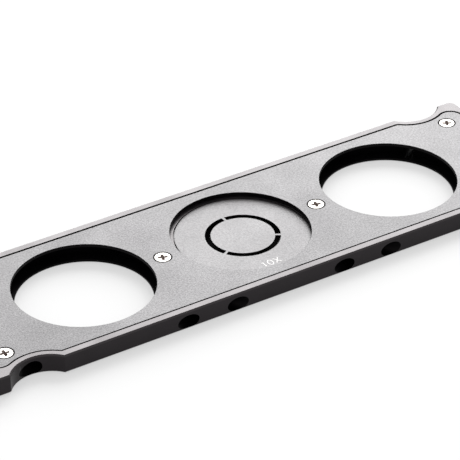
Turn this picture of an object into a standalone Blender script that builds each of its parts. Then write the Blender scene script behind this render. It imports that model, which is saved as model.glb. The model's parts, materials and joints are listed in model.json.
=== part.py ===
"""Three-position phase slider for the condenser of an inverted microscope.

A milled plate carries three stepped bores. A thin cover plate is let into its top and held by
six countersunk screws. The middle bore holds a phase annulus in a cell, which two set screws
push against two spring plungers to centre it. The outer bores are open for bright field.

Units are metres; the driving dimensions below are millimetres. X runs along the slider, Z is
up, and the origin is at the centre of the underside.
"""

import math

import bpy
from mathutils import Matrix, Vector

MM = 0.001

# ---- driving dimensions, mm ----
POSITION_PITCH = 48.0
BORE_CENTRES = (-POSITION_PITCH, 0.0, POSITION_PITCH)
GAP = 0.3                      # between pieces that rest on or fit into each other
THIN_GAP = 0.2                 # the same, inside the low annulus cell
LEDGE_GAP = 0.1                # under the cover plate, where little metal stands over the side holes

BODY_LENGTH = 176.0
BODY_WIDTH = 50.4
BODY_THICKNESS = 5.3
BODY_CORNER_RADIUS = 2.0
BODY_CHAMFER = 0.42
LIP_THICKNESS = 0.8            # what is left under each pocket
LIP_HOLE_RADIUS = 18.2
LIP_FLARE = 0.3                # 45 degree flare of the lip's lower edge
POCKET_RADIUS = 21.9

NOTCH_X, NOTCH_Y = 75.2, 31.1  # centre of the arc of each finger scallop
NOTCH_RADIUS = 9.6
NOTCH_EDGE_RADIUS = 0.5

COVER_THICKNESS = 1.0
COVER_WIDTH = 45.02
COVER_NOTCH_RADIUS = 11.85
COVER_CORNER_X = 82.2
COVER_CORNER_RADIUS = 3.45
COVER_NOTCH_EDGE_RADIUS = 1.05
COVER_HOLE_RADIUS = 19.0
COVER_EDGE_BREAK = 0.12

COVER_SCREW_CENTRES = (
    (-24.2, 0.0), (24.2, 0.0),
    (-79.5, -15.9), (79.5, -15.9), (-79.5, 15.9), (79.5, 15.9),
)
COVER_SCREW_TURN = (12.0, 35.0, 55.0, 8.0, 70.0, 20.0)   # degrees each cross stands at
COVER_SCREW_HEAD_RADIUS = 2.33
COVER_SCREW_SHANK_RADIUS = 1.25
COVER_SCREW_HEAD_DEPTH = 1.08
COVER_SCREW_LENGTH = 4.0
COVER_SCREW_HOLE_RADIUS = 1.4
DRILL_POINT_RADIUS, DRILL_POINT_LENGTH = 0.05, 0.5
COUNTERSINK_RADIUS = 2.65
COVER_SCREW_SINK = 0.04        # how far each head's top stands below the cover
COVER_SCREW_POINT_RADIUS, COVER_SCREW_POINT_LENGTH = 0.94, 0.35
COVER_SCREW_EDGE = 0.05
CROSS_ARM, CROSS_HALF_WIDTH, CROSS_DEPTH = 1.3, 0.3, 0.8
CROSS_TAPER = 0.45             # size of the recess's floor against its mouth

CENTRING_ANGLE = 51.3          # from the near side face's normal to each screw's axis
CENTRING_AXIS_HEIGHT = 2.15
ACCESS_HOLE_RADIUS = 1.85
TAPPED_HOLE_RADIUS = 1.6
TAPPED_HOLE_START = 19.2       # distances from the bore's axis; the tap runs out over the lip
TAPPED_HOLE_END = 28.4
ACCESS_HOLE_END = 45.0         # well past the long edge
SET_SCREW_RADIUS = 1.5
SET_SCREW_LENGTH = 5.0
SET_SCREW_TIP_RADIUS = 0.7
SET_SCREW_TIP_LENGTH = 0.6
SET_SCREW_CHAMFER = 0.15
SET_SCREW_SOCKET = 0.75        # half of the hexagon's width across flats
SET_SCREW_SOCKET_DEPTH = 1.4
PARKED_TIP = 22.2              # where an unused screw's tip stands, from the bore's axis
LEFT_FACET_TURN, RIGHT_FACET_TURN = 2.0, 6.5   # degrees, so that crossing holes' facets differ

CELL_OFFSET_X, CELL_OFFSET_Y = 0.43, -0.45   # the cell stands off-centre as it is stored
CELL_RADIUS = 20.4
CELL_TOP = 3.7
CELL_BOTTOM = LIP_THICKNESS + THIN_GAP
CELL_GROOVE_DEPTH = 0.4
CELL_GROOVE_HALF_HEIGHT = 0.4
CELL_FLANGE_RADIUS = 17.6
CELL_FLANGE_BOTTOM, CELL_FLANGE_TOP = 2.6, 3.0
CELL_LOWER_BORE = 18.4

MASK_RADIUS = 18.4
MASK_THICKNESS = 0.5
MASK_SPIGOT_OUTER, MASK_SPIGOT_INNER = 17.3, 16.2
MASK_SPIGOT_BOTTOM = 2.0
SLIT_INNER, SLIT_OUTER = 8.65, 10.2
BRIDGE_ANGLES = (90.0, 210.0, 330.0)
BRIDGE_WIDTH = 0.7

LOCK_RING_INNER, LOCK_RING_OUTER = 17.5, 18.1
LOCK_RING_BOTTOM, LOCK_RING_TOP = 1.85, 2.4

PLUNGER_FRONT = 22.2           # distances from the bore's axis, opposite each centring screw
PLUNGER_LENGTH = 6.0
PLUNGER_BORE = 1.0
PLUNGER_LIP_HOLE, PLUNGER_LIP_THICKNESS = 0.75, 0.4
PLUNGER_END_WALL = 0.5
PIN_NOSE_RADIUS, PIN_NOSE_LENGTH = 0.65, 3.05
PIN_TIP_RADIUS, PIN_TIP_LENGTH = 0.4, 0.3
PIN_COLLAR_RADIUS, PIN_COLLAR_LENGTH = 0.9, 0.6
SPRING_COIL_RADIUS, SPRING_WIRE_RADIUS = 0.72, 0.12
SPRING_TURNS = 6
SPRING_END_GAP = 0.1

DETENT_RADIUS = 1.2            # three dimples in the far guide face for the click ball
DETENT_DEPTH = 0.8

OVERRUN = 1.0                  # how far a cutter stands past the face it opens
SHORT_OVERRUN = 0.5
BORE_SEGMENTS = 48
SCREW_SEGMENTS = 24


# ---- scene and materials ----
for old in list(bpy.data.objects):
    bpy.data.objects.remove(old, do_unlink=True)


def finish(name, colour, roughness, metallic):
    """A Principled material for one finish."""
    material = bpy.data.materials.new(name)
    material.use_nodes = True
    shader = material.node_tree.nodes["Principled BSDF"]
    shader.inputs["Base Color"].default_value = (*colour, 1.0)
    shader.inputs["Roughness"].default_value = roughness
    shader.inputs["Metallic"].default_value = metallic
    return material


def add_object(name, verts_mm, faces, material=None):
    """An object from points in millimetres, shaded smooth with its hard edges kept sharp."""
    mesh = bpy.data.meshes.new(name)
    mesh.from_pydata([Vector(v) * MM for v in verts_mm], [], faces)
    mesh.validate()
    mesh.shade_smooth()
    mesh.set_sharp_from_angle(angle=math.radians(30))
    if material:
        mesh.materials.append(material)
    made = bpy.data.objects.new(name, mesh)
    bpy.context.scene.collection.objects.link(made)
    return made


def hide_cutter(cutter):
    """A cutter only shapes its neighbour, so it is drawn as wire and left out."""
    cutter.hide_render = True
    cutter.display_type = "WIRE"
    return cutter


def cut(target, cutter):
    """Take the cutter's shape out of the target."""
    modifier = target.modifiers.new(cutter.name, "BOOLEAN")
    modifier.operation = "DIFFERENCE"
    modifier.solver = "EXACT"
    modifier.object = cutter


# ---- shape helpers: every solid is a loft through loops of equal length ----
def loft(loops, closed=False):
    """Vertices and faces through loops, capped at both ends or closed into a ring."""
    size = len(loops[0])
    verts = [point for loop in loops for point in loop]
    pairs = list(zip(range(len(loops) - 1), range(1, len(loops))))
    if closed:
        pairs.append((len(loops) - 1, 0))
    faces = []
    for low, high in pairs:
        for i in range(size):
            j = (i + 1) % size
            faces.append((low * size + i, low * size + j, high * size + j, high * size + i))
    if not closed:
        faces.append(tuple(reversed(range(size))))
        faces.append(tuple(range((len(loops) - 1) * size, len(loops) * size)))
    return verts, faces


def merge(parts):
    """Several closed shells as one list of vertices and faces."""
    verts, faces = [], []
    for part_verts, part_faces in parts:
        start = len(verts)
        verts += part_verts
        faces += [tuple(start + i for i in face) for face in part_faces]
    return verts, faces


def moved(shape, matrix):
    """The shape's vertices put through a matrix."""
    verts, faces = shape
    return [tuple(matrix @ Vector(v)) for v in verts], faces


def circle(radius, height, segments, centre=(0.0, 0.0)):
    """Points round a circle at one height, anticlockwise."""
    step = 2 * math.pi / segments
    return [
        (centre[0] + radius * math.cos(i * step), centre[1] + radius * math.sin(i * step), height)
        for i in range(segments)
    ]


def turned(profile, segments, centre=(0.0, 0.0), closed=False):
    """A turned solid: profile is (radius, height) upwards, or round a ring's section."""
    loops = [circle(radius, height, segments, centre) for radius, height in profile]
    return loft(loops, closed)


def arc(centre, radius, start, end, steps):
    """Points along an arc, both ends included; angles in degrees."""
    points = []
    for i in range(steps + 1):
        angle = math.radians(start + (end - start) * i / steps)
        points.append((centre[0] + radius * math.cos(angle), centre[1] + radius * math.sin(angle)))
    return points


def four_quarters(quarter):
    """A closed anticlockwise outline from its first quadrant, mirrored about X and Y."""
    left = [(-x, y) for x, y in reversed(quarter)]
    lower_left = [(-x, -y) for x, y in quarter]
    lower_right = [(x, -y) for x, y in reversed(quarter)]
    return quarter + left + lower_left + lower_right


def edge_round_centre(half_width, notch_radius, edge_radius, side):
    """Centre of the small arc where a scallop meets the long edge."""
    y = half_width - edge_radius
    x = NOTCH_X + side * math.sqrt((notch_radius + edge_radius) ** 2 - (NOTCH_Y - y) ** 2)
    return x, y


def towards(start, end):
    """Direction from one point to another, in degrees."""
    return math.degrees(math.atan2(end[1] - start[1], end[0] - start[0]))


def body_outline(inset):
    """The slider's outline, moved inwards by inset."""
    notch = (NOTCH_X, NOTCH_Y)
    half_width = BODY_WIDTH / 2
    corner = (BODY_LENGTH / 2 - BODY_CORNER_RADIUS, half_width - BODY_CORNER_RADIUS)
    outer = edge_round_centre(half_width, NOTCH_RADIUS, NOTCH_EDGE_RADIUS, 1)
    inner = edge_round_centre(half_width, NOTCH_RADIUS, NOTCH_EDGE_RADIUS, -1)
    edge = NOTCH_EDGE_RADIUS - inset
    quarter = arc(corner, BODY_CORNER_RADIUS - inset, 0, 90, 5)
    quarter += arc(outer, edge, 90, towards(outer, notch), 3)
    quarter += arc(
        notch, NOTCH_RADIUS + inset, towards(notch, outer), towards(notch, inner), 14
    )[1:-1]
    quarter += arc(inner, edge, towards(inner, notch), 90, 3)
    return four_quarters(quarter)


def cover_outline(growth):
    """The cover plate's outline, moved outwards by growth."""
    notch = (NOTCH_X, NOTCH_Y)
    reach = COVER_NOTCH_RADIUS + COVER_CORNER_RADIUS
    corner_y = NOTCH_Y - math.sqrt(reach ** 2 - (COVER_CORNER_X - NOTCH_X) ** 2)
    corner = (COVER_CORNER_X, corner_y)
    inner = edge_round_centre(
        COVER_WIDTH / 2, COVER_NOTCH_RADIUS, COVER_NOTCH_EDGE_RADIUS, -1
    )
    quarter = arc(corner, COVER_CORNER_RADIUS + growth, 0, towards(corner, notch), 7)
    quarter += arc(
        notch, COVER_NOTCH_RADIUS - growth, towards(notch, corner), towards(notch, inner), 10
    )[1:-1]
    quarter += arc(inner, COVER_NOTCH_EDGE_RADIUS + growth, towards(inner, notch), 90, 3)
    return four_quarters(quarter)


def at_height(outline, height):
    return [(x, y, height) for x, y in outline]


def ring_sector(inner, outer, low, high, start, end, steps, centre=(0.0, 0.0)):
    """Part of a flat ring between two angles in degrees."""
    loops = []
    for i in range(steps + 1):
        angle = math.radians(end + (start - end) * i / steps)
        c, s = math.cos(angle), math.sin(angle)
        loops.append([
            (centre[0] + r * c, centre[1] + r * s, z)
            for r, z in ((inner, low), (outer, low), (outer, high), (inner, high))
        ])
    return loft(loops)


def hole_frame(bore_x, side, edge, reach):
    """Matrix from a piece's own +Z to a slanting hole: origin at reach, +Z towards the bore.

    side is -1 for a hole that runs to the left of the bore and 1 for a right one, edge is -1
    for the near long edge and 1 for the far one, and reach is measured from the bore's axis.
    """
    angle = math.radians(CENTRING_ANGLE)
    outwards = Vector((side * math.sin(angle), edge * math.cos(angle), 0.0))
    turn = (-outwards).to_track_quat("Z", "Y").to_matrix().to_4x4()
    place = Vector((bore_x, 0.0, CENTRING_AXIS_HEIGHT)) + outwards * reach
    return Matrix.Translation(place) @ turn


def place_in_hole(piece, frame):
    """Put a piece, modelled along its own +Z, into a slanting hole."""
    piece.location = frame.translation * MM
    piece.rotation_mode = "QUATERNION"
    piece.rotation_quaternion = frame.to_quaternion()


# ---- materials ----
black_anodised = finish("black_anodised_aluminium", (0.018, 0.017, 0.019), 0.42, 0.0)
textured_cover = finish("textured_anodised_aluminium", (0.075, 0.074, 0.078), 0.5, 0.0)
mask_black = finish("matte_anodised_aluminium", (0.06, 0.058, 0.06), 0.45, 0.0)
nickel = finish("nickel_plated_steel", (0.72, 0.71, 0.69), 0.22, 1.0)
spring_steel = finish("blued_spring_steel", (0.09, 0.09, 0.1), 0.35, 1.0)
black_oxide = finish("black_oxide_steel", (0.03, 0.03, 0.032), 0.4, 1.0)


# ---- slider body ----
ledge = BODY_THICKNESS - COVER_THICKNESS - LEDGE_GAP
slider_body = add_object(
    "slider_body",
    *loft([
        at_height(body_outline(BODY_CHAMFER), 0.0),
        at_height(body_outline(0.0), BODY_CHAMFER),
        at_height(body_outline(0.0), BODY_THICKNESS - BODY_CHAMFER),
        at_height(body_outline(BODY_CHAMFER), BODY_THICKNESS),
    ]),
    black_anodised,
)

cover_recess = add_object("cover_recess_cutter", *loft([
    at_height(cover_outline(GAP), ledge),
    at_height(cover_outline(GAP), BODY_THICKNESS + OVERRUN),
]))
cut(slider_body, hide_cutter(cover_recess))

bore_profile = (
    (LIP_HOLE_RADIUS + LIP_FLARE + OVERRUN, -OVERRUN), (LIP_HOLE_RADIUS, LIP_FLARE),
    (LIP_HOLE_RADIUS, LIP_THICKNESS), (POCKET_RADIUS, LIP_THICKNESS),
    (POCKET_RADIUS, BODY_THICKNESS + OVERRUN),
)
screw_hole_bottom = BODY_THICKNESS - COVER_SCREW_LENGTH - GAP
screw_hole_profile = (
    (DRILL_POINT_RADIUS, screw_hole_bottom - DRILL_POINT_LENGTH),
    (COVER_SCREW_HOLE_RADIUS, screw_hole_bottom),
    (COVER_SCREW_HOLE_RADIUS, BODY_THICKNESS + OVERRUN),
)
detent = moved(
    turned(
        ((DETENT_RADIUS * 2, -DETENT_DEPTH), (DRILL_POINT_RADIUS, DETENT_DEPTH)), SCREW_SEGMENTS
    ),
    Matrix.Rotation(math.radians(90), 4, "X"),
)
bores = add_object("bore_cutter", *merge(
    [turned(bore_profile, BORE_SEGMENTS, (x, 0.0)) for x in BORE_CENTRES]
    + [turned(screw_hole_profile, SCREW_SEGMENTS, centre) for centre in COVER_SCREW_CENTRES]
    + [
        moved(detent, Matrix.Translation((x, BODY_WIDTH / 2, BODY_THICKNESS / 2)))
        for x in BORE_CENTRES
    ]
))
cut(slider_body, hide_cutter(bores))

# Slanting holes run from each bore's wall out through both long edges: the near ones take the
# centring screws, the far ones the spring plungers. Neighbouring runs cross, so their facets
# are turned against each other.
slanting_hole = turned(
    ((ACCESS_HOLE_RADIUS, -ACCESS_HOLE_END), (ACCESS_HOLE_RADIUS, -TAPPED_HOLE_END),
     (TAPPED_HOLE_RADIUS, -TAPPED_HOLE_END), (TAPPED_HOLE_RADIUS, -TAPPED_HOLE_START)),
    SCREW_SEGMENTS,
)
for side, side_name, facet_turn in ((-1, "left", LEFT_FACET_TURN), (1, "right", RIGHT_FACET_TURN)):
    facets = Matrix.Rotation(math.radians(facet_turn), 4, "Z")
    holes = add_object(f"slanting_hole_cutter_{side_name}", *merge([
        moved(slanting_hole, hole_frame(x, side, edge, 0.0) @ facets)
        for x in BORE_CENTRES for edge in (-1, 1)
    ]))
    cut(slider_body, hide_cutter(holes))


# ---- cover plate, let into the body's top ----
cover_bottom = BODY_THICKNESS - COVER_THICKNESS
cover_plate = add_object(
    "cover_plate",
    *loft([
        at_height(cover_outline(0.0), cover_bottom),
        at_height(cover_outline(0.0), BODY_THICKNESS - COVER_EDGE_BREAK),
        at_height(cover_outline(-COVER_EDGE_BREAK), BODY_THICKNESS),
    ]),
    textured_cover,
)
cover_holes = add_object("cover_hole_cutter", *merge(
    [
        turned(
            ((COVER_HOLE_RADIUS, cover_bottom - OVERRUN),
             (COVER_HOLE_RADIUS, BODY_THICKNESS - COVER_EDGE_BREAK),
             (COVER_HOLE_RADIUS + COVER_EDGE_BREAK + SHORT_OVERRUN,
              BODY_THICKNESS + SHORT_OVERRUN)),
            BORE_SEGMENTS, (x, 0.0),
        )
        for x in BORE_CENTRES
    ]
    + [
        turned(
            ((COUNTERSINK_RADIUS - COVER_THICKNESS - SHORT_OVERRUN, cover_bottom - SHORT_OVERRUN),
             (COUNTERSINK_RADIUS + SHORT_OVERRUN, BODY_THICKNESS + SHORT_OVERRUN)),
            SCREW_SEGMENTS, centre,
        )
        for centre in COVER_SCREW_CENTRES
    ]
))
cut(cover_plate, hide_cutter(cover_holes))


# ---- countersunk cross-recess screws that hold the cover ----
def cross_radius(angle, arm, half_width):
    """Distance to the edge of a plus shape at an angle from one of its arms."""
    off_axis = abs((angle + math.pi / 4) % (math.pi / 2) - math.pi / 4)
    if off_axis <= math.atan2(half_width, arm) + 1e-6:
        return arm / math.cos(off_axis)
    return half_width / math.sin(off_axis)


def cover_screw_mesh():
    """Flat head flush with the cover, cone, shank and cross recess; top of the head at z = 0."""
    corner = math.degrees(math.atan2(CROSS_HALF_WIDTH, CROSS_ARM))
    steps = (-corner, 0.0, corner, 26.0, 45.0, 64.0)
    angles = [math.radians(90 * quarter + step) for quarter in range(4) for step in steps]

    def loop(radius, height):
        return [(radius * math.cos(a), radius * math.sin(a), height) for a in angles]

    def cross_loop(arm, half_width, height):
        return [
            (cross_radius(a, arm, half_width) * math.cos(a),
             cross_radius(a, arm, half_width) * math.sin(a), height)
            for a in angles
        ]

    return loft([
        loop(COVER_SCREW_POINT_RADIUS, -COVER_SCREW_LENGTH),
        loop(COVER_SCREW_SHANK_RADIUS, -COVER_SCREW_LENGTH + COVER_SCREW_POINT_LENGTH),
        loop(COVER_SCREW_SHANK_RADIUS, -COVER_SCREW_HEAD_DEPTH),
        loop(COVER_SCREW_HEAD_RADIUS, -COVER_SCREW_EDGE),
        loop(COVER_SCREW_HEAD_RADIUS - COVER_SCREW_EDGE, 0.0),
        cross_loop(CROSS_ARM, CROSS_HALF_WIDTH, 0.0),
        cross_loop(CROSS_ARM * CROSS_TAPER, CROSS_HALF_WIDTH * CROSS_TAPER, -CROSS_DEPTH),
    ])


screw_verts, screw_faces = cover_screw_mesh()
for number, (centre, turn) in enumerate(zip(COVER_SCREW_CENTRES, COVER_SCREW_TURN), start=1):
    screw = add_object(f"cover_screw_{number}", screw_verts, screw_faces, nickel)
    screw.location = (centre[0] * MM, centre[1] * MM, (BODY_THICKNESS - COVER_SCREW_SINK) * MM)
    screw.rotation_euler = (0.0, 0.0, math.radians(turn))


# ---- annulus cell with its mask and lock ring; each is placed at the cell's own centre ----
cell_place = (CELL_OFFSET_X * MM, CELL_OFFSET_Y * MM, 0.0)
groove_low = CENTRING_AXIS_HEIGHT - CELL_GROOVE_HALF_HEIGHT
groove_high = CENTRING_AXIS_HEIGHT + CELL_GROOVE_HALF_HEIGHT
annulus_cell = add_object(
    "annulus_cell",
    *turned(
        ((CELL_LOWER_BORE, CELL_BOTTOM), (CELL_RADIUS, CELL_BOTTOM), (CELL_RADIUS, groove_low),
         (CELL_RADIUS - CELL_GROOVE_DEPTH, CENTRING_AXIS_HEIGHT), (CELL_RADIUS, groove_high),
         (CELL_RADIUS, CELL_TOP), (MASK_RADIUS + GAP, CELL_TOP),
         (MASK_RADIUS + GAP, CELL_FLANGE_TOP), (CELL_FLANGE_RADIUS, CELL_FLANGE_TOP),
         (CELL_FLANGE_RADIUS, CELL_FLANGE_BOTTOM), (CELL_LOWER_BORE, CELL_FLANGE_BOTTOM)),
        BORE_SEGMENTS, closed=True,
    ),
    black_anodised,
)
annulus_cell.location = cell_place

mask_bottom = CELL_TOP - MASK_THICKNESS
annulus_mask = add_object(
    "annulus_mask",
    *turned(
        ((MASK_SPIGOT_INNER, mask_bottom), (MASK_SPIGOT_INNER, MASK_SPIGOT_BOTTOM),
         (MASK_SPIGOT_OUTER, MASK_SPIGOT_BOTTOM), (MASK_SPIGOT_OUTER, mask_bottom),
         (MASK_RADIUS, mask_bottom), (MASK_RADIUS, CELL_TOP)),
        BORE_SEGMENTS,
    ),
    mask_black,
)
annulus_mask.location = cell_place

bridge_half_angle = math.degrees(math.asin(BRIDGE_WIDTH / (SLIT_INNER + SLIT_OUTER)))
slit = add_object("slit_cutter", *merge([
    ring_sector(
        SLIT_INNER, SLIT_OUTER, mask_bottom - SHORT_OVERRUN, CELL_TOP + SHORT_OVERRUN,
        start + bridge_half_angle, start + 120 - bridge_half_angle, 20,
    )
    for start in BRIDGE_ANGLES
]))
slit.location = cell_place
cut(annulus_mask, hide_cutter(slit))

mask_lock_ring = add_object(
    "mask_lock_ring",
    *turned(
        ((LOCK_RING_INNER, LOCK_RING_BOTTOM), (LOCK_RING_OUTER, LOCK_RING_BOTTOM),
         (LOCK_RING_OUTER, LOCK_RING_TOP), (LOCK_RING_INNER, LOCK_RING_TOP)),
        BORE_SEGMENTS, closed=True,
    ),
    black_anodised,
)
mask_lock_ring.location = cell_place


# ---- centring set screws: cone-nosed, hexagon socket at the outer end ----
def set_screw_mesh():
    """Tip at the origin, pointing along +Z, the body behind it."""
    step = 2 * math.pi / SCREW_SEGMENTS

    def loop(radius, height):
        return circle(radius, height, SCREW_SEGMENTS)

    def hexagon(height):
        points = []
        for i in range(SCREW_SEGMENTS):
            angle = i * step
            radius = SET_SCREW_SOCKET / math.cos((angle % math.radians(60)) - math.radians(30))
            points.append((radius * math.cos(angle), radius * math.sin(angle), height))
        return points

    return loft([
        hexagon(-SET_SCREW_LENGTH + SET_SCREW_SOCKET_DEPTH),
        hexagon(-SET_SCREW_LENGTH),
        loop(SET_SCREW_RADIUS - SET_SCREW_CHAMFER, -SET_SCREW_LENGTH),
        loop(SET_SCREW_RADIUS, -SET_SCREW_LENGTH + SET_SCREW_CHAMFER),
        loop(SET_SCREW_RADIUS, -SET_SCREW_TIP_LENGTH),
        loop(SET_SCREW_TIP_RADIUS, 0.0),
    ])


def cell_rim_reach(side, edge):
    """Distance from the middle bore's axis to the cell's rim, along a slanting hole."""
    angle = math.radians(CENTRING_ANGLE)
    return (
        CELL_RADIUS
        + side * CELL_OFFSET_X * math.sin(angle)
        + edge * CELL_OFFSET_Y * math.cos(angle)
    )


set_verts, set_faces = set_screw_mesh()
number = 0
for bore_x in (0.0, -POSITION_PITCH, POSITION_PITCH):
    for side in (-1, 1):
        number += 1
        reach = cell_rim_reach(side, -1) + GAP if bore_x == 0.0 else PARKED_TIP
        set_screw = add_object(f"centring_screw_{number}", set_verts, set_faces, black_oxide)
        place_in_hole(set_screw, hole_frame(bore_x, side, -1, reach))


# ---- spring plungers opposite the middle bore's centring screws: sleeve, pin and coil spring ----
def coil(length, segments_per_turn=10, wire_segments=6):
    """A helical wire along +Z from the origin, wire centres kept inside the length."""
    loops = []
    steps = SPRING_TURNS * segments_per_turn
    rise = length - 2 * SPRING_WIRE_RADIUS
    for i in range(steps + 1):
        angle = 2 * math.pi * i / segments_per_turn
        middle = Vector((
            SPRING_COIL_RADIUS * math.cos(angle), SPRING_COIL_RADIUS * math.sin(angle),
            SPRING_WIRE_RADIUS + rise * i / steps,
        ))
        outwards = Vector((math.cos(angle), math.sin(angle), 0.0))
        upwards = Vector((0.0, 0.0, 1.0))
        loops.append([
            tuple(middle
                  + outwards * SPRING_WIRE_RADIUS * math.cos(2 * math.pi * k / wire_segments)
                  - upwards * SPRING_WIRE_RADIUS * math.sin(2 * math.pi * k / wire_segments))
            for k in range(wire_segments)
        ])
    return loft(loops)


sleeve_profile = (
    (SET_SCREW_RADIUS - SET_SCREW_CHAMFER, -PLUNGER_LENGTH),
    (SET_SCREW_RADIUS, -PLUNGER_LENGTH + SET_SCREW_CHAMFER),
    (SET_SCREW_RADIUS, -SET_SCREW_CHAMFER), (SET_SCREW_RADIUS - SET_SCREW_CHAMFER, 0.0),
    (PLUNGER_LIP_HOLE, 0.0), (PLUNGER_LIP_HOLE, -PLUNGER_LIP_THICKNESS),
    (PLUNGER_BORE, -PLUNGER_LIP_THICKNESS), (PLUNGER_BORE, -PLUNGER_LENGTH + PLUNGER_END_WALL),
)
pin_profile = (
    (PIN_COLLAR_RADIUS, -PIN_NOSE_LENGTH - PIN_COLLAR_LENGTH),
    (PIN_COLLAR_RADIUS, -PIN_NOSE_LENGTH),
    (PIN_NOSE_RADIUS, -PIN_NOSE_LENGTH), (PIN_NOSE_RADIUS, -PIN_TIP_LENGTH), (PIN_TIP_RADIUS, 0.0),
)
# Plunger 1 stands opposite centring screw 1, across the cell, and plunger 2 opposite screw 2.
for number, side in ((1, 1), (2, -1)):
    sleeve = add_object(
        f"plunger_sleeve_{number}", *turned(sleeve_profile, SCREW_SEGMENTS), black_oxide
    )
    place_in_hole(sleeve, hole_frame(0.0, side, 1, PLUNGER_FRONT))

    pin_tip = cell_rim_reach(side, 1) + GAP
    pin = add_object(f"plunger_pin_{number}", *turned(pin_profile, SCREW_SEGMENTS), nickel)
    place_in_hole(pin, hole_frame(0.0, side, 1, pin_tip))

    spring_front = pin_tip + PIN_NOSE_LENGTH + PIN_COLLAR_LENGTH + SPRING_END_GAP
    spring_back = PLUNGER_FRONT + PLUNGER_LENGTH - PLUNGER_END_WALL - SPRING_END_GAP
    spring = add_object(
        f"plunger_spring_{number}", *coil(spring_back - spring_front), spring_steel
    )
    place_in_hole(spring, hole_frame(0.0, side, 1, spring_back))
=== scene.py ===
"""Looks of a three-position phase slider: camera, light, then each piece in assembly order.

Sizes inside a section are in millimetres; the frame is in metres.
"""

import json
import math

import bpy
from mathutils import Matrix, Vector


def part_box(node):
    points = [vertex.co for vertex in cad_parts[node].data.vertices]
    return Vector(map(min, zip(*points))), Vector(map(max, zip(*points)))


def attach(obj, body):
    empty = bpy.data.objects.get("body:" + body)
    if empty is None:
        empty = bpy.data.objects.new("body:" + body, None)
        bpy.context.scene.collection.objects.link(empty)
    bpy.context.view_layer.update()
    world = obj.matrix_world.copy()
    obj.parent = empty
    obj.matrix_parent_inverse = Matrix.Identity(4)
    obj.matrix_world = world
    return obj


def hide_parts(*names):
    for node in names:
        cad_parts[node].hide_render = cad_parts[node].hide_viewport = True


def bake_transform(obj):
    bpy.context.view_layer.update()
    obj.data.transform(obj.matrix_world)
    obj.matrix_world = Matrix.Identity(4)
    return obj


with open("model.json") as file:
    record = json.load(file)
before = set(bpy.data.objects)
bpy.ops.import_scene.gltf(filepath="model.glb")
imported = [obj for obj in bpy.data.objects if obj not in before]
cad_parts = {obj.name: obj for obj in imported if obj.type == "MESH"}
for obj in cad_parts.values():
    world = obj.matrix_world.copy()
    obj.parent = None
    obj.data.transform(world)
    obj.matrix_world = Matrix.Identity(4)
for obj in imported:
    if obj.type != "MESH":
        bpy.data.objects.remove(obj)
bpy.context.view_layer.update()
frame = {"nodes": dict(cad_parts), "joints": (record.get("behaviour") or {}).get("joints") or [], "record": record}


# ======== camera, table and light ========
# The slider lies on a white acrylic table that glows a little from below, with a black disc under
# its middle position: painted shade, which keeps the table seen through the mask's slits black.
# A large softbox lights it from behind on the right.
MM = 0.001
camera_place = Vector((-0.30646, -0.48984, 0.38048))
camera_aim = Vector((-0.0024, 0.00148, 0.0053))
camera_roll = math.radians(-0.437)

camera_data = bpy.data.cameras.new("camera")
camera_data.sensor_width = 36.0
camera_data.lens = 201.8
camera_data.clip_start = 0.05
camera = bpy.data.objects.new("camera", camera_data)
bpy.context.scene.collection.objects.link(camera)
aim_turn = (camera_aim - camera_place).to_track_quat("-Z", "Y").to_matrix().to_4x4()
camera.matrix_world = (
    Matrix.Translation(camera_place) @ aim_turn @ Matrix.Rotation(camera_roll, 4, "Z")
)
bpy.context.scene.camera = camera
bpy.context.scene.view_settings.view_transform = "Standard"
bpy.context.scene.view_settings.look = "None"

table_material = bpy.data.materials.new("white_table")
table_material.use_nodes = True
table_shader = table_material.node_tree.nodes["Principled BSDF"]
table_white, table_glow = 0.28, 0.5
table_shader.inputs["Base Color"].default_value = (table_white, table_white, table_white, 1.0)
table_shader.inputs["Emission Color"].default_value = (1.0, 1.0, 1.0, 1.0)
table_shader.inputs["Emission Strength"].default_value = table_glow
table_shader.inputs["Roughness"].default_value = 0.9
table_shader.inputs["Specular IOR Level"].default_value = 0.0

table_half = 3.0
table_mesh = bpy.data.meshes.new("table")
table_mesh.from_pydata(
    [(-table_half, -table_half, 0), (table_half, -table_half, 0),
     (table_half, table_half, 0), (-table_half, table_half, 0)],
    [], [(0, 1, 2, 3)],
)
table_mesh.materials.append(table_material)
table = bpy.data.objects.new("table", table_mesh)
bpy.context.scene.collection.objects.link(table)
table.location.z = -0.0001

# A black disc on the table under the middle bore: painted shade, so that the table seen through the mask's slits
# stays black.
shade_disc_material = bpy.data.materials.new("painted_shade_disc")
shade_disc_material.use_nodes = True
shade_disc_shader = shade_disc_material.node_tree.nodes["Principled BSDF"]
shade_disc_shader.inputs["Base Color"].default_value = (0.01, 0.01, 0.01, 1.0)
shade_disc_shader.inputs["Roughness"].default_value = 1.0
shade_disc_shader.inputs["Specular IOR Level"].default_value = 0.0
shade_disc_radius, shade_disc_sides = 0.018, 96
shade_disc_turns = [2 * math.pi * i / shade_disc_sides for i in range(shade_disc_sides)]
shade_disc_mesh = bpy.data.meshes.new("shade_disc")
shade_disc_mesh.from_pydata(
    [(shade_disc_radius * math.cos(a), shade_disc_radius * math.sin(a), 0.0) for a in shade_disc_turns],
    [], [tuple(range(shade_disc_sides))],
)
shade_disc_mesh.materials.append(shade_disc_material)
shade_disc = bpy.data.objects.new("shade_disc", shade_disc_mesh)
bpy.context.scene.collection.objects.link(shade_disc)
shade_disc.location.z = -0.00005


def softbox(name, place, target, width, height, radiance):
    """A rectangular light of an even radiance that faces its target."""
    light = bpy.data.lights.new(name, "AREA")
    light.shape = "RECTANGLE"
    light.size, light.size_y = width, height
    light.energy = radiance * math.pi * width * height
    lamp = bpy.data.objects.new(name, light)
    bpy.context.scene.collection.objects.link(lamp)
    lamp.location = place
    lamp.rotation_euler = (Vector(target) - Vector(place)).to_track_quat("-Z", "Y").to_euler()


softbox("back_softbox", (0.72, 0.9, 0.76), (0.0, 0.0, 0.0), 1.15, 1.1, 10.0)

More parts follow.
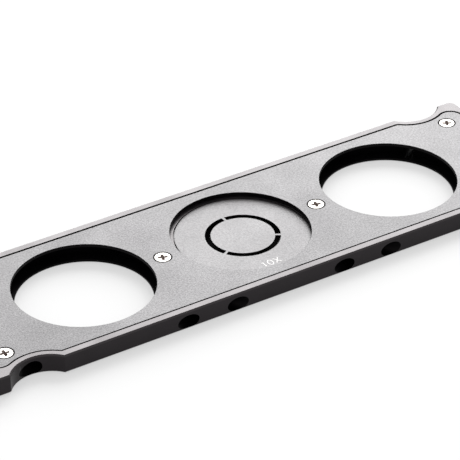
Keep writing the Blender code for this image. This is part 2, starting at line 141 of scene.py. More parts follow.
world = bpy.data.worlds.new("studio")
bpy.context.scene.world = world
world.use_nodes = True
world.node_tree.nodes["Background"].inputs["Color"].default_value = (1.0, 1.0, 1.0, 1.0)
world.node_tree.nodes["Background"].inputs["Strength"].default_value = 1.0


# ======== slider body ========
# One plate milled from aluminium and anodised satin black: three pockets with a thin lip under
# each, a shallow recess for the cover, four finger scallops, and slanting holes from both long
# edges to each pocket, the near ones for centring screws and the far ones for spring plungers.
def in_mm(point):
    return Vector(point) / MM


body_high = in_mm(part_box("slider_body")[1])
cover_low, cover_high = (in_mm(p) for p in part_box("cover_plate"))
thickness = body_high.z
right_opening = next(
    o for o in frame["record"]["physics"]["openings"] if o["name"] == "right_bore"
)
pitch = (right_opening["box_m"][0][0] + right_opening["box_m"][1][0]) / 2 / MM
bore_centres = (-pitch, 0.0, pitch)
cover_thickness = cover_high.z - cover_low.z

notch_centre = (75.2, 31.1)
notch_radius = 9.6
corner_radius = 2.0
edge_chamfer, face_inset = 0.42, 0.6
lip_thickness = 0.8
lip_radius = 18.2
pocket_radius = 21.9
seam = 0.44
round_segments = 192
screw_hole_radius = 1.4
dimple_radius, dimple_depth = 1.2, 0.8
hole_height = 2.15
access_radius, tapped_radius = 2.0, 1.6
tap_start, tap_end, hole_end = 19.2, 28.4, 45.0


def new_piece(name, verts, faces, material=None):
    """A mesh object from points in millimetres."""
    mesh = bpy.data.meshes.new(name)
    mesh.from_pydata([Vector(v) * MM for v in verts], [], faces)
    mesh.validate()
    if material:
        mesh.materials.append(material)
    piece = bpy.data.objects.new(name, mesh)
    bpy.context.scene.collection.objects.link(piece)
    return piece


def finish_surface(piece, sharp_angle=32.0):
    """Smooth shading that keeps the flats flat and the hard edges hard."""
    piece.data.shade_smooth()
    piece.data.set_sharp_from_angle(angle=math.radians(sharp_angle))
    weighted = piece.modifiers.new("even_flats", "WEIGHTED_NORMAL")
    weighted.keep_sharp = True
    weighted.weight = 100


def loft(loops, closed=False):
    """Vertices and faces through loops of equal length, capped or closed into a ring."""
    size = len(loops[0])
    verts = [point for loop in loops for point in loop]
    pairs = list(zip(range(len(loops) - 1), range(1, len(loops))))
    if closed:
        pairs.append((len(loops) - 1, 0))
    faces = [
        (low * size + i, low * size + (i + 1) % size, high * size + (i + 1) % size, high * size + i)
        for low, high in pairs for i in range(size)
    ]
    if not closed:
        faces.append(tuple(reversed(range(size))))
        faces.append(tuple(range((len(loops) - 1) * size, len(loops) * size)))
    return verts, faces


def merge(shapes):
    """Several closed shells as one list of vertices and faces."""
    verts, faces = [], []
    for shape_verts, shape_faces in shapes:
        start = len(verts)
        verts += shape_verts
        faces += [tuple(start + i for i in face) for face in shape_faces]
    return verts, faces


def moved(shape, matrix):
    verts, faces = shape
    return [tuple(matrix @ Vector(v)) for v in verts], faces


def eased(profile, ease, steps=3, closed=False):
    """A profile with each corner turned into a small curve that starts ease before it."""
    points = [Vector(p) for p in profile]
    count = len(points)
    result = []
    for i, corner in enumerate(points):
        if not closed and i in (0, count - 1):
            result.append(tuple(corner))
            continue
        before, after = points[i - 1], points[(i + 1) % count]
        back = min(ease, (before - corner).length * 0.45)
        ahead = min(ease, (after - corner).length * 0.45)
        start = corner + (before - corner).normalized() * back
        end = corner + (after - corner).normalized() * ahead
        for step in range(steps + 1):
            t = step / steps
            result.append(tuple(start * (1 - t) ** 2 + corner * 2 * t * (1 - t) + end * t ** 2))
    return result


def turned(profile, centre=(0.0, 0.0), closed=False, segments=round_segments):
    """A turned shape: profile is (radius, height), upwards or round a ring's section."""
    turns = [2 * math.pi * i / segments for i in range(segments)]
    return loft([
        [(centre[0] + r * math.cos(a), centre[1] + r * math.sin(a), z) for a in turns]
        for r, z in profile
    ], closed)


def arc(centre, radius, start, end, steps):
    """Points along an arc, both ends included; angles in degrees."""
    angles = [math.radians(start + (end - start) * i / steps) for i in range(steps + 1)]
    return [(centre[0] + radius * math.cos(a), centre[1] + radius * math.sin(a)) for a in angles]


def towards(start, end):
    return math.degrees(math.atan2(end[1] - start[1], end[0] - start[0]))


def four_quarters(quarter):
    """A closed anticlockwise outline from its first quadrant, mirrored both ways."""
    left = [(-x, y) for x, y in reversed(quarter)]
    lower_left = [(-x, -y) for x, y in quarter]
    lower_right = [(x, -y) for x, y in reversed(quarter)]
    return quarter + left + lower_left + lower_right


def scallop_edge(half_width, radius, edge, side):
    """Centre of the small arc where a scallop of that radius meets the long edge."""
    y = half_width - edge
    reach = math.sqrt((radius + edge) ** 2 - (notch_centre[1] - y) ** 2)
    return notch_centre[0] + side * reach, y


def body_outline(inset):
    """The plate's outline, moved inwards."""
    edge = 0.5
    corner = (body_high.x - corner_radius, body_high.y - corner_radius)
    outer = scallop_edge(body_high.y, notch_radius, edge, 1)
    inner = scallop_edge(body_high.y, notch_radius, edge, -1)
    quarter = arc(corner, corner_radius - inset, 0, 90, 10)
    quarter += arc(outer, edge - inset, 90, towards(outer, notch_centre), 5)
    quarter += arc(
        notch_centre, notch_radius + inset,
        towards(notch_centre, outer), towards(notch_centre, inner), 40,
    )[1:-1]
    quarter += arc(inner, edge - inset, towards(inner, notch_centre), 90, 5)
    return four_quarters(quarter)


def cover_outline(growth):
    """The cover's outline, moved outwards; its corners run into the scallops in one sweep."""
    notch_arc, corner_arc, edge, corner_x = 11.85, 3.45, 1.05, 82.2
    reach = notch_arc + corner_arc
    drop = math.sqrt(reach ** 2 - (corner_x - notch_centre[0]) ** 2)
    corner = (corner_x, notch_centre[1] - drop)
    inner = scallop_edge(cover_high.y, notch_arc, edge, -1)
    quarter = arc(corner, corner_arc + growth, 0, towards(corner, notch_centre), 16)
    quarter += arc(
        notch_centre, notch_arc - growth,
        towards(notch_centre, corner), towards(notch_centre, inner), 32,
    )[1:-1]
    quarter += arc(inner, edge + growth, towards(inner, notch_centre), 90, 8)
    return four_quarters(quarter)


def plate(outline, profile):
    """A plate whose edge follows (inset, height) round its outline."""
    return loft([[(x, y, z) for x, y in outline(inset)] for inset, z in profile])


def carve(piece, *cutters, inside=None):
    """Cut the shapes out of the piece for good; inside is the cut walls' own material."""
    for number, shape in enumerate(cutters):
        cutter = new_piece(f"{piece.name}_cutter_{number}", *shape, inside)
        modifier = piece.modifiers.new("cut", "BOOLEAN")
        modifier.material_mode = "TRANSFER" if inside else "INDEX"
        modifier.operation = "DIFFERENCE"
        modifier.solver = "EXACT"
        modifier.object = cutter
        bpy.context.view_layer.update()
        evaluated = piece.evaluated_get(bpy.context.evaluated_depsgraph_get())
        carved = bpy.data.meshes.new_from_object(evaluated)
        piece.modifiers.clear()
        old = piece.data
        piece.data = carved
        bpy.data.meshes.remove(old)
        bpy.data.objects.remove(cutter, do_unlink=True)
    piece.data.name = piece.name


def hole_frame(bore_x, side, edge, reach):
    """Where something in a slanting hole is and which way it points (its own +Z, at the bore)."""
    joint = next(j for j in frame["joints"] if j["name"] == "centring_screw_1_travel")
    outward = Vector((side * joint["axis"][0], edge * joint["axis"][1], 0.0))
    tip = Vector((bore_x, 0.0, hole_height)) + outward * reach
    return Matrix.Translation(tip) @ (-outward).to_track_quat("Z", "Y").to_matrix().to_4x4()


def material_nodes(name, colour, roughness, metallic=0.0, ior=1.5):
    """A Principled material with its node tree ready for detail."""
    material = bpy.data.materials.new(name)
    material.use_nodes = True
    tree = material.node_tree
    shader = tree.nodes["Principled BSDF"]
    shader.inputs["Base Color"].default_value = (*colour, 1.0)
    shader.inputs["Roughness"].default_value = roughness
    shader.inputs["Metallic"].default_value = metallic
    shader.inputs["IOR"].default_value = ior
    return material, tree, shader


def grain(tree, size_mm, detail=2.0, roughness=0.5, stretch=(1.0, 1.0, 1.0)):
    """Noise whose grains are about size_mm across, fixed to the piece."""
    place = tree.nodes.new("ShaderNodeTexCoord")
    scale = tree.nodes.new("ShaderNodeMapping")
    scale.inputs["Scale"].default_value = stretch
    noise = tree.nodes.new("ShaderNodeTexNoise")
    noise.inputs["Scale"].default_value = 1.0 / (size_mm * MM)
    noise.inputs["Detail"].default_value = detail
    noise.inputs["Roughness"].default_value = roughness
    tree.links.new(place.outputs["Object"], scale.inputs["Vector"])
    tree.links.new(scale.outputs["Vector"], noise.inputs["Vector"])
    return noise


def spread(tree, source, low, high, from_low=0.3, from_high=0.7):
    """The source value spread between low and high."""
    node = tree.nodes.new("ShaderNodeMapRange")
    node.inputs["From Min"].default_value = from_low
    node.inputs["From Max"].default_value = from_high
    node.inputs["To Min"].default_value = low
    node.inputs["To Max"].default_value = high
    tree.links.new(source, node.inputs["Value"])
    return node.outputs["Result"]


def blend_colours(tree, factor, first, second):
    """A colour that runs from first to second with the factor."""
    node = tree.nodes.new("ShaderNodeMix")
    node.data_type = "RGBA"
    node.inputs["A"].default_value = (*first, 1.0)
    node.inputs["B"].default_value = (*second, 1.0)
    tree.links.new(factor, node.inputs["Factor"])
    return node.outputs["Result"]


def relief(tree, height, depth_mm, strength=1.0, under=None):
    """A bump of that depth, laid over another if one is given."""
    node = tree.nodes.new("ShaderNodeBump")
    node.inputs["Strength"].default_value = strength
    node.inputs["Distance"].default_value = depth_mm * MM
    tree.links.new(height, node.inputs["Height"])
    if under:
        tree.links.new(under, node.inputs["Normal"])
    return node.outputs["Normal"]


def satin_anodised(name, tint, sheen=1.0):
    """Dyed black oxide over fine milling: satin, with its shine turned down on the sides as painted shade, and a
    soft etched tooth.
    """
    material, tree, shader = material_nodes(name, tint, 0.36, ior=1.47)
    shader.inputs["Specular Tint"].default_value = (1.0, 0.92, 0.94, 1.0)
    place = tree.nodes.new("ShaderNodeTexCoord")
    side_shade_facing = tree.nodes.new("ShaderNodeSeparateXYZ")
    tree.links.new(place.outputs["Normal"], side_shade_facing.inputs["Vector"])
    # The shine is turned down on the side faces: painted shade that darkens them.
    tree.links.new(
        spread(tree, side_shade_facing.outputs["Z"], 0.24 * sheen, 0.5 * sheen, 0.2, 0.8),
        shader.inputs["Specular IOR Level"],
    )
    cloud = grain(tree, 9.0, 3.0)
    tooth = grain(tree, 0.12, 2.0)
    lines = grain(tree, 0.22, 1.0, stretch=(0.03, 1.0, 1.0))
    tree.links.new(spread(tree, cloud.outputs["Fac"], 0.32, 0.42), shader.inputs["Roughness"])
    lighter = tuple(c * 1.5 for c in tint)
    tree.links.new(
        blend_colours(tree, spread(tree, cloud.outputs["Fac"], 0, 1), tint, lighter),
        shader.inputs["Base Color"],
    )
    marks = relief(tree, lines.outputs["Fac"], 0.0016, 0.6)
    tree.links.new(relief(tree, tooth.outputs["Fac"], 0.004, 0.7, marks), shader.inputs["Normal"])
    return material


anodised = satin_anodised("satin_black_anodised", (0.0055, 0.0045, 0.0055))
# The walls of the pockets, the cover recess, the side holes and the mask's slits: a darker, duller black that is
# painted shade.
painted_pocket_shade = satin_anodised("painted_shade_in_the_pockets", (0.0012, 0.0011, 0.0013), 0.12)

ease = 0.07
ledge = cover_low.z
slider_body = new_piece("slider_body_milled", *plate(body_outline, eased((
    (face_inset, 0.0), (edge_chamfer, 0.0), (0.0, edge_chamfer),
    (0.0, thickness - edge_chamfer), (edge_chamfer, thickness), (face_inset, thickness),
), ease)[1:-1]), anodised)

bore_profile = (
    (lip_radius + 1.3, -1.0), (lip_radius, 0.3), (lip_radius, lip_thickness - 0.1),
    (lip_radius + 0.1, lip_thickness), (pocket_radius, lip_thickness),
    (pocket_radius, thickness + 1.0),
)
dimple = moved(
    turned(eased((
        (2 * dimple_radius, -dimple_depth), (dimple_radius, 0.0), (0.02, dimple_depth),
    ), 0.05), segments=48),
    Matrix.Rotation(math.radians(90), 4, "X"),
)
screw_centres = []
for number in range(1, 7):
    low, high = (in_mm(p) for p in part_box(f"cover_screw_{number}"))
    screw_centres.append(((low.x + high.x) / 2, (low.y + high.y) / 2))
blind_hole = ((0.02, 0.5), (screw_hole_radius, 1.0), (screw_hole_radius, thickness + 1.0))
side_hole = eased((
    (access_radius, -hole_end), (access_radius, -tap_end),
    (tapped_radius, -tap_end + access_radius - tapped_radius), (tapped_radius, -tap_start),
), 0.05)
# The cut walls of the pockets, the recess and the side holes get the painted shade.
carve(
    slider_body,
    plate(cover_outline, (
        (seam, ledge), (seam, thickness - 0.05), (seam + 0.5, thickness + 0.45),
    )),
    merge(
        [turned(bore_profile, (x, 0.0)) for x in bore_centres]
        + [turned(blind_hole, centre, segments=48) for centre in screw_centres]
        + [moved(dimple, Matrix.Translation((x, body_high.y, thickness / 2)))
           for x in bore_centres]
    ),
    *(
        merge([
            moved(turned(side_hole, segments=64),
                  hole_frame(x, side, edge, 0.0) @ Matrix.Rotation(facets, 4, "Z"))
            for x in bore_centres for edge in (-1, 1)
        ])
        for side, facets in ((-1, 0.03), (1, 0.07))
    ),
    inside=painted_pocket_shade,
)
finish_surface(slider_body)
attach(slider_body, "slider")
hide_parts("slider_body")


# ======== cover plate ========
# Thin aluminium sheet let into the body's top so that it stands flush. It is bead-blasted and
# then anodised, which leaves a pebbled dark grey skin, and its edges are lightly broken.
def bead_blasted(name, tint, pebble_mm, depth_mm, mottle, roughness=0.42):
    """Anodised skin over fine round dents, with more sheen on the tops of the pebbles."""
    material, tree, shader = material_nodes(name, tint, roughness, ior=1.47)
    shader.inputs["Specular Tint"].default_value = (0.99, 0.965, 0.985, 1.0)
    place = tree.nodes.new("ShaderNodeTexCoord")
    dents = tree.nodes.new("ShaderNodeTexVoronoi")
    dents.feature = "SMOOTH_F1"
    dents.inputs["Smoothness"].default_value = 0.6
    dents.inputs["Scale"].default_value = 1.0 / (pebble_mm * MM)
    tree.links.new(place.outputs["Object"], dents.inputs["Vector"])
    soft = grain(tree, pebble_mm * 1.3, 3.0, 0.55)
    cloud = grain(tree, 14.0, 2.0)
    tree.links.new(
        spread(tree, cloud.outputs["Fac"], roughness - 0.03, roughness + 0.03),
        shader.inputs["Roughness"],
    )
    tree.links.new(
        spread(tree, soft.outputs["Fac"], 0.5 - mottle, 0.5 + mottle, 0.35, 0.65),
        shader.inputs["Specular IOR Level"],
    )
    paler = tuple(c * 1.7 for c in tint)
    tree.links.new(
        blend_colours(tree, spread(tree, soft.outputs["Fac"], 0, 1), tint, paler),
        shader.inputs["Base Color"],
    )
    pebbles = relief(tree, dents.outputs["Distance"], depth_mm, 0.8)
    tree.links.new(
        relief(tree, soft.outputs["Fac"], depth_mm * 1.5, 0.8, pebbles), shader.inputs["Normal"]
    )
    return material


cover_skin = bead_blasted("bead_blasted_cover", (0.011, 0.0102, 0.0112), 0.36, 0.022, 0.13)
# The turned walls of the cover's holes: satin anodised, and made darker and duller than the cover as painted
# shade.
hole_edge_shade = satin_anodised("turned_edge_of_the_cover", (0.002, 0.0018, 0.002), 0.2)
edge_break = 0.12
cover_hole = 19.0
countersink = 2.6
cover_top = cover_high.z - 0.08
cover_plate = new_piece("cover_plate_blasted", *plate(cover_outline, eased((
    (-0.4, cover_low.z), (-0.05, cover_low.z), (-0.05, cover_top), (-0.5, cover_top),
), edge_break)[1:-1]), cover_skin)
hole_shape = eased((
    (cover_hole + 0.55, cover_low.z - 0.5), (cover_hole, cover_low.z + 0.05),
    (cover_hole, cover_top - edge_break * 0.6), (cover_hole + 0.57, cover_top + 0.5),
), 0.05)
sink_shape = (
    (countersink - cover_thickness - 0.42, cover_low.z - 0.5),
    (countersink + 0.5, cover_top + 0.5),
)
carve(cover_plate, merge([turned(hole_shape, (x, 0.0)) for x in bore_centres]), inside=hole_edge_shade)
carve(cover_plate, merge([turned(sink_shape, at, segments=64) for at in screw_centres]))
finish_surface(cover_plate)
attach(cover_plate, "slider")
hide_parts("cover_plate")


# ======== cover screws ========
# Six M2.5 countersunk cross-recess screws, cold headed and nickel plated. Their heads stand
# flush in the cover's countersinks, and the threads hold in blind tapped holes in the body.
def bright_metal(name, tint, roughness, mark_mm):
    """Plated or oiled steel with faint lathe marks round the piece's own axis."""
    material, tree, shader = material_nodes(name, tint, roughness, metallic=1.0)
    place = tree.nodes.new("ShaderNodeTexCoord")
    rings = tree.nodes.new("ShaderNodeTexWave")
    rings.wave_type = "RINGS"
    rings.rings_direction = "Z"
    rings.inputs["Scale"].default_value = 0.314 / (mark_mm * MM)
    rings.inputs["Distortion"].default_value = 0.6
    tree.links.new(place.outputs["Object"], rings.inputs["Vector"])
    smudge = grain(tree, 0.9, 3.0)
    tree.links.new(
        spread(tree, smudge.outputs["Fac"], roughness * 0.8, roughness * 1.3),
        shader.inputs["Roughness"],
    )
    darker = tuple(c * 0.82 for c in tint)
    tree.links.new(
        blend_colours(tree, spread(tree, smudge.outputs["Fac"], 0, 1), darker, tint),
        shader.inputs["Base Color"],
    )
    tree.links.new(relief(tree, rings.outputs["Fac"], 0.002, 0.4), shader.inputs["Normal"])
    return material


def threaded(radius, depth, lead, low, high, segments=40, rows_per_turn=8):
    """Loops of a screw thread from low to high, fading out at both ends."""
    loops = []
    rows = max(2, round((high - low) / lead * rows_per_turn))
    for row in range(rows + 1):
        z = low + (high - low) * row / rows
        fade = min(1.0, (z - low) / lead * 2, (high - z) / lead * 2)
        loop = []
        for i in range(segments):
            phase = (z / lead - i / segments) % 1.0
            cut_in = depth * fade * (1.0 - abs(2.0 * phase - 1.0))
            angle = 2 * math.pi * i / segments
            surface = radius - cut_in
            loop.append((surface * math.cos(angle), surface * math.sin(angle), z))
        loops.append(loop)
    return loops


def ring(radius, height, segments=40):
    """One loop of a turned shape."""
    turns = [2 * math.pi * i / segments for i in range(segments)]
    return [(radius * math.cos(a), radius * math.sin(a), height) for a in turns]


def cross(arm, half_width, height):
    """The outline of a cross recess; its arms end in a slight round."""
    points = []
    for quarter in range(4):
        turn = Matrix.Rotation(math.radians(90 * quarter), 3, "Z")
        for x, y in (
            (half_width * 1.15, -half_width), (arm * 0.92, -half_width),
            (arm, -half_width * 0.6), (arm, half_width * 0.6), (arm * 0.92, half_width),
            (half_width * 1.15, half_width),
        ):
            points.append(tuple(turn @ Vector((x, y, height))))
    return points


nickel = bright_metal("nickel_plated_steel", (0.36, 0.345, 0.325), 0.38, 0.16)
# The walls of the cross recess: darker, rougher nickel that is painted shade.
recess_shade = bright_metal("painted_shade_in_the_recess", (0.24, 0.195, 0.18), 0.5, 0.16)
head_radius, head_depth, screw_length = 2.15, 1.08, 4.0
thread_radius, thread_depth, thread_lead = 1.25, 0.26, 0.45
screw_turns = (71.5, 75.0, 86.0, 8.0, 70.0, 60.0)
head_profile = eased((
    (thread_radius, -head_depth - 0.05), (thread_radius, -head_depth), (head_radius, -0.09),
    (head_radius, 0.0), (1.6, 0.0),
), 0.06)
screw_shape = loft(
    [ring(0.55, -screw_length), ring(0.95, -screw_length + 0.3)]
    + threaded(
        thread_radius, thread_depth, thread_lead, -screw_length + 0.32, -head_depth - 0.15,
    )
    + [ring(r, z) for r, z in head_profile]
)
for number, (centre, turn) in enumerate(zip(screw_centres, screw_turns), start=1):
    screw = new_piece(f"cover_screw_{number}_nickel", *screw_shape, nickel)
    carve(screw, loft([
        cross(0.5, 0.14, -0.95), cross(1.08, 0.28, -0.6), cross(1.32, 0.4, -0.06),
        cross(1.44, 0.51, 0.08),
    ]), inside=recess_shade)
    screw.matrix_world = (
        Matrix.Translation((centre[0] * MM, centre[1] * MM, (cover_top - 0.03) * MM))
        @ Matrix.Rotation(math.radians(turn), 4, "Z")
    )
    finish_surface(screw)
    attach(screw, "slider")
    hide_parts(f"cover_screw_{number}")


# ======== annulus cell ========
# A turned ring, anodised like the body, that floats in the middle pocket. A V groove round its
# rim takes the tips of the centring screws and plungers, and a shelf inside holds the mask.
cell_low, cell_high = (in_mm(p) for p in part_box("annulus_cell"))
cell_centre = ((cell_low.x + cell_high.x) / 2, (cell_low.y + cell_high.y) / 2)
cell_radius = (cell_high.x - cell_low.x) / 2
cell_place = Matrix.Translation((cell_centre[0] * MM, cell_centre[1] * MM, 0.0))
seat_radius, shelf_radius, lower_bore = 18.7, 17.6, 18.4
shelf_low, shelf_high = 2.6, 3.0
groove = 0.4
cell_skin = satin_anodised("satin_black_cell", (0.0075, 0.0068, 0.0076))
annulus_cell = new_piece("annulus_cell_turned", *turned(eased((
    (lower_bore, cell_low.z), (cell_radius, cell_low.z), (cell_radius, hole_height - groove),
    (cell_radius - groove, hole_height), (cell_radius, hole_height + groove),
    (cell_radius, cell_high.z), (seat_radius, cell_high.z), (seat_radius, shelf_high),
    (shelf_radius, shelf_high), (shelf_radius, shelf_low), (lower_bore, shelf_low),
), 0.08, closed=True), closed=True), cell_skin)
annulus_cell.matrix_world = cell_place
finish_surface(annulus_cell)
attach(annulus_cell, "annulus_cell")
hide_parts("annulus_cell")


# ======== annulus mask ========
# A thin aluminium disc on a turned spigot, etched with three ring slits that let light through
# and anodised matte black. Its magnification is marked in white paint.
def ring_sector(section, start, end, steps):
    """Part of a ring: its section swept between two angles in degrees."""
    loops = []
    for i in range(steps + 1):
        angle = math.radians(end + (start - end) * i / steps)
        c, s = math.cos(angle), math.sin(angle)
        loops.append([(r * c, r * s, z) for r, z in section])
    return loft(loops)


mask_low, mask_high = (in_mm(p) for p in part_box("annulus_mask"))
mask_radius = (mask_high.x - mask_low.x) / 2
sheet_low = mask_high.z - 0.5
spigot_inner, spigot_outer = 16.2, 17.3
slit_inner, slit_outer, bridge_width = 8.65, 10.2, 0.7
bridge = math.degrees(math.asin(bridge_width / (slit_inner + slit_outer)))
mask_skin = bead_blasted("matte_black_mask", (0.0125, 0.0112, 0.0118), 0.3, 0.016, 0.09, 0.38)
annulus_mask = new_piece("annulus_mask_etched", *turned(eased((
    (spigot_inner, sheet_low), (spigot_inner, mask_low.z),
    (spigot_outer, mask_low.z), (spigot_outer, sheet_low),
    (mask_radius, sheet_low), (mask_radius, mask_high.z), (mask_radius - 0.5, mask_high.z),
), 0.06)), mask_skin)
slit_section = (
    (slit_inner, sheet_low - 0.4), (slit_outer, sheet_low - 0.4),
    (slit_outer, mask_high.z + 0.4), (slit_inner, mask_high.z + 0.4),
)
# The slit walls get the same painted shade as the pockets, so the slits read black.
carve(annulus_mask, merge([
    ring_sector(slit_section, start + bridge, start + 120 - bridge, 72)
    for start in (90.0, 210.0, 330.0)
]), inside=painted_pocket_shade)
annulus_mask.matrix_world = cell_place
finish_surface(annulus_mask)
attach(annulus_mask, "annulus_cell")
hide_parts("annulus_mask")


def stroke(points, width, low, high):
    """A raised line of even width along points, a cap at each end; points run round if closed."""
    points = [Vector(p) for p in points]
    closed = (points[0] - points[-1]).length < 1e-6
    if closed:
        points = points[:-1]
    loops = []
    for i, point in enumerate(points):
        before = points[i - 1] if closed or i else point
        after = points[(i + 1) % len(points)] if closed or i < len(points) - 1 else point
        run = (after - before).normalized()
        across = Vector((run.y, -run.x)) * width / 2
        loops.append([
            (*(point - across), low), (*(point - across), high),
            (*(point + across), high), (*(point + across), low),
        ])
    return loft(loops, closed)


paint, paint_tree, paint_shader = material_nodes("white_paint", (0.5, 0.49, 0.48), 0.55)
paint_grain = grain(paint_tree, 0.12, 2.0)
paint_tree.links.new(
    blend_colours(
        paint_tree, spread(paint_tree, paint_grain.outputs["Fac"], 0, 1),
        (0.46, 0.45, 0.44), (0.56, 0.55, 0.54),
    ),
    paint_shader.inputs["Base Color"],
)
paint_tree.links.new(
    relief(paint_tree, paint_grain.outputs["Fac"], 0.006, 0.6), paint_shader.inputs["Normal"]
)
paint_low, paint_high = mask_high.z - 0.05, mask_high.z + 0.02
figure_height, figure_width, line = 2.2, 1.4, 0.25
oval = [
    (figure_width / 2 * math.cos(a), figure_height / 2 * math.sin(a))
    for a in (2 * math.pi * i / 40 for i in range(41))
]
half, cross_half = figure_height / 2, 0.74
mark_x, mark_y = -0.68, -14.95
mark_strokes = (
    (-2.0, ((0.0, -half), (0.0, half)), line, paint_high),
    (-2.28, ((-0.24, half - 0.55), (0.28, half - 0.08)), line * 0.8, paint_high),
    (-0.14, oval, line, paint_high),
    (1.95, ((-cross_half, -half), (cross_half, half)), line, paint_high),
    (1.95, ((-cross_half, half), (cross_half, -half)), line, paint_high + 0.004),
)
mark = new_piece("magnification_mark", *merge([
    moved(stroke(points, width, paint_low, top), Matrix.Translation((mark_x + x, mark_y, 0.0)))
    for x, points, width, top in mark_strokes
]), paint)
mark.matrix_world = cell_place
finish_surface(mark)
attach(mark, "annulus_cell")


# ======== mask lock ring ========
# A thin black ring that screws onto the mask's spigot from below and so clamps the mask down on
# the cell's shelf. Two notches in its lower face take a pin spanner.
lock_low, lock_high = (in_mm(p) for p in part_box("mask_lock_ring"))
lock_outer = (lock_high.x - lock_low.x) / 2
lock_inner = 17.5
notch_half, notch_depth = 0.6, 0.28
lock_ring = new_piece("mask_lock_ring_turned", *turned(eased((
    (lock_inner, lock_low.z), (lock_outer, lock_low.z), (lock_outer, lock_high.z),
    (lock_inner, lock_high.z),
), 0.06, closed=True), closed=True), cell_skin)
carve(lock_ring, merge([
    moved(
        loft([
            [(lock_inner - 0.4, -notch_half, z), (lock_outer + 0.4, -notch_half, z),
             (lock_outer + 0.4, notch_half, z), (lock_inner - 0.4, notch_half, z)]
            for z in (lock_low.z - 0.3, lock_low.z + notch_depth)
        ]),
        Matrix.Rotation(math.radians(turn), 4, "Z"),
    )
    for turn in (25.0, 205.0)
]))
lock_ring.matrix_world = cell_place
finish_surface(lock_ring)
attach(lock_ring, "annulus_cell")
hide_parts("mask_lock_ring")


# ======== centring screws ========
# Six M3 set screws in black oxide, one pair for each bore, with a cone nose and a hexagon
# socket that a driver reaches through the near edge. Only the middle pair bears on a cell.
black_oxide = bright_metal("black_oxide_steel", (0.045, 0.044, 0.05), 0.34, 0.12)
set_length, set_radius, set_lead, nose_length = 5.0, 1.5, 0.5, 0.6
set_thread_depth = 0.28


def hexagon(flat_radius, height, segments=48):
    """A hexagonal loop with the same number of points as a ring."""
    points = []
    for i in range(segments):
        angle = 2 * math.pi * i / segments
        radius = flat_radius / math.cos(angle % math.radians(60) - math.radians(30))
        points.append((radius * math.cos(angle), radius * math.sin(angle), height))
    return points


set_screw_shape = loft(
    [ring(0.1, -set_length + 1.75, 48), hexagon(0.74, -set_length + 1.4),
     hexagon(0.75, -set_length + 0.08), hexagon(0.82, -set_length)]
    + [ring(1.25, -set_length, 48), ring(1.3, -set_length + 0.03, 48),
       ring(1.42, -set_length + 0.15, 48)]
    + threaded(
        set_radius, set_thread_depth, set_lead, -set_length + 0.17, -nose_length - 0.02, 48,
    )
    + [ring(1.38, -nose_length, 48), ring(0.74, -0.05, 48), ring(0.66, 0.0, 48)]
)
middle_bore_first = (0.0, -pitch, pitch)
set_screws = [(x, side) for x in middle_bore_first for side in (-1, 1)]
near_axis = hole_frame(0.0, 1, -1, 1.0).translation - hole_frame(0.0, 1, -1, 0.0).translation
for number, (bore_x, side) in enumerate(set_screws, start=1):
    low, high = (in_mm(p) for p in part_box(f"centring_screw_{number}"))
    outward = Vector((side * near_axis.x, near_axis.y, 0.0))
    middle = ((low + high) / 2 - Vector((bore_x, 0.0, 0.0))).dot(outward)
    tip = middle - set_length / 2
    screw = new_piece(f"centring_screw_{number}_set", *set_screw_shape, black_oxide)
    at = hole_frame(bore_x, side, -1, tip)
    at.translation *= MM
    screw.matrix_world = at
    finish_surface(screw)
    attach(screw, f"centring_screw_{number}")
    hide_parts(f"centring_screw_{number}")


# ======== spring plungers ========
# Opposite each centring screw of the middle bore an M3 plunger pushes back on the cell: a
# threaded black sleeve, a turned pin with a collar, and a coil spring behind it. The sleeves
# screw in from the far edge.
sleeve_length, sleeve_bore, sleeve_mouth = 6.0, 1.0, 0.75
nose_radius, nose_reach, collar_radius, collar_length = 0.65, 3.05, 0.9, 0.6
coil_radius, wire_radius, coil_turns = 0.72, 0.12, 6
far_axis = hole_frame(0.0, 1, 1, 1.0).translation - hole_frame(0.0, 1, 1, 0.0).translation
spring_wire = bright_metal("blued_spring_wire", (0.16, 0.17, 0.21), 0.3, 0.08)

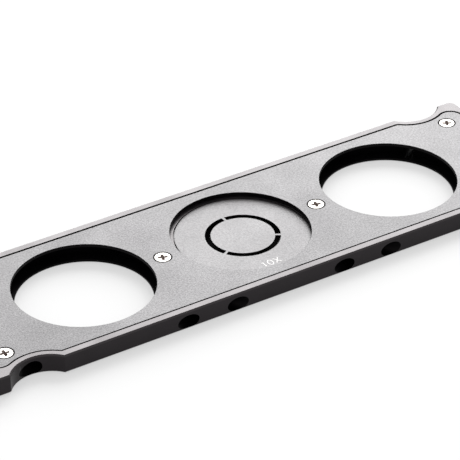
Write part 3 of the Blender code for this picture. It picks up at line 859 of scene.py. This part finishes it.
sleeve_shape = loft(
    [ring(0.3, -sleeve_length + 0.3), ring(1.1, -sleeve_length + 0.25),
     ring(1.1, -sleeve_length), ring(1.3, -sleeve_length), ring(1.42, -sleeve_length + 0.15)]
    + threaded(set_radius, set_thread_depth, set_lead, -sleeve_length + 0.17, -0.17)
    + [ring(r, z) for r, z in eased((
        (1.42, -0.15), (1.35, 0.0), (sleeve_mouth, 0.0), (sleeve_mouth, -0.4),
        (sleeve_bore, -0.4), (sleeve_bore, -sleeve_length + 0.6),
    ), 0.05)]
    + [ring(0.3, -sleeve_length + 0.6)]
)
pin_shape = loft([ring(r, z) for r, z in eased((
    (0.3, -nose_reach - collar_length), (collar_radius, -nose_reach - collar_length),
    (collar_radius, -nose_reach), (nose_radius, -nose_reach), (nose_radius, -0.4),
    (nose_radius * 0.55, 0.0), (0.1, 0.0),
), 0.14)])


def coil(length, steps_per_turn=32, wire_steps=12):
    """A coil of round wire along +Z, its end turns closed up."""
    loops = []
    steps = coil_turns * steps_per_turn
    for i in range(steps + 1):
        share = i / steps
        angle = 2 * math.pi * coil_turns * share
        closed_up = share - math.sin(2 * math.pi * share) / (2 * math.pi) * 0.55
        z = wire_radius + (length - 2 * wire_radius) * closed_up
        loops.append([
            (
                (coil_radius + wire_radius * math.cos(w)) * math.cos(angle),
                (coil_radius + wire_radius * math.cos(w)) * math.sin(angle),
                z - wire_radius * math.sin(w),
            )
            for w in (2 * math.pi * k / wire_steps for k in range(wire_steps))
        ])
    return loft(loops)


def reach_of(node, side):
    """Nearest and farthest reach of a far-side piece along its hole, from the bore's axis."""
    outward = Vector((side * far_axis.x, far_axis.y, 0.0))
    verts = [Vector(v.co) / MM for v in frame["nodes"][node].data.vertices]
    reaches = [v.dot(outward) for v in verts]
    return min(reaches), max(reaches)


for number, side in ((1, 1), (2, -1)):
    reaches = {
        kind: reach_of(f"plunger_{kind}_{number}", side) for kind in ("sleeve", "pin", "spring")
    }
    sleeve = new_piece(f"plunger_sleeve_{number}_threaded", *sleeve_shape, black_oxide)
    pin = new_piece(f"plunger_pin_{number}_turned", *pin_shape, nickel)
    spring_length = reaches["spring"][1] - reaches["spring"][0]
    spring = new_piece(f"plunger_spring_{number}_coil", *coil(spring_length), spring_wire)
    for piece, reach in (
        (sleeve, reaches["sleeve"][0]), (pin, reaches["pin"][0]), (spring, reaches["spring"][1]),
    ):
        at = hole_frame(0.0, side, 1, reach)
        at.translation *= MM
        piece.matrix_world = at
        finish_surface(piece)
    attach(sleeve, "slider")
    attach(pin, f"plunger_pin_{number}")
    outward = Vector((side * far_axis.x, far_axis.y, 0.0))
    middle = Vector((0.0, 0.0, hole_height))
    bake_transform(spring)
    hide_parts(f"plunger_sleeve_{number}")
    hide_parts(f"plunger_pin_{number}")
    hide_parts(f"plunger_spring_{number}")
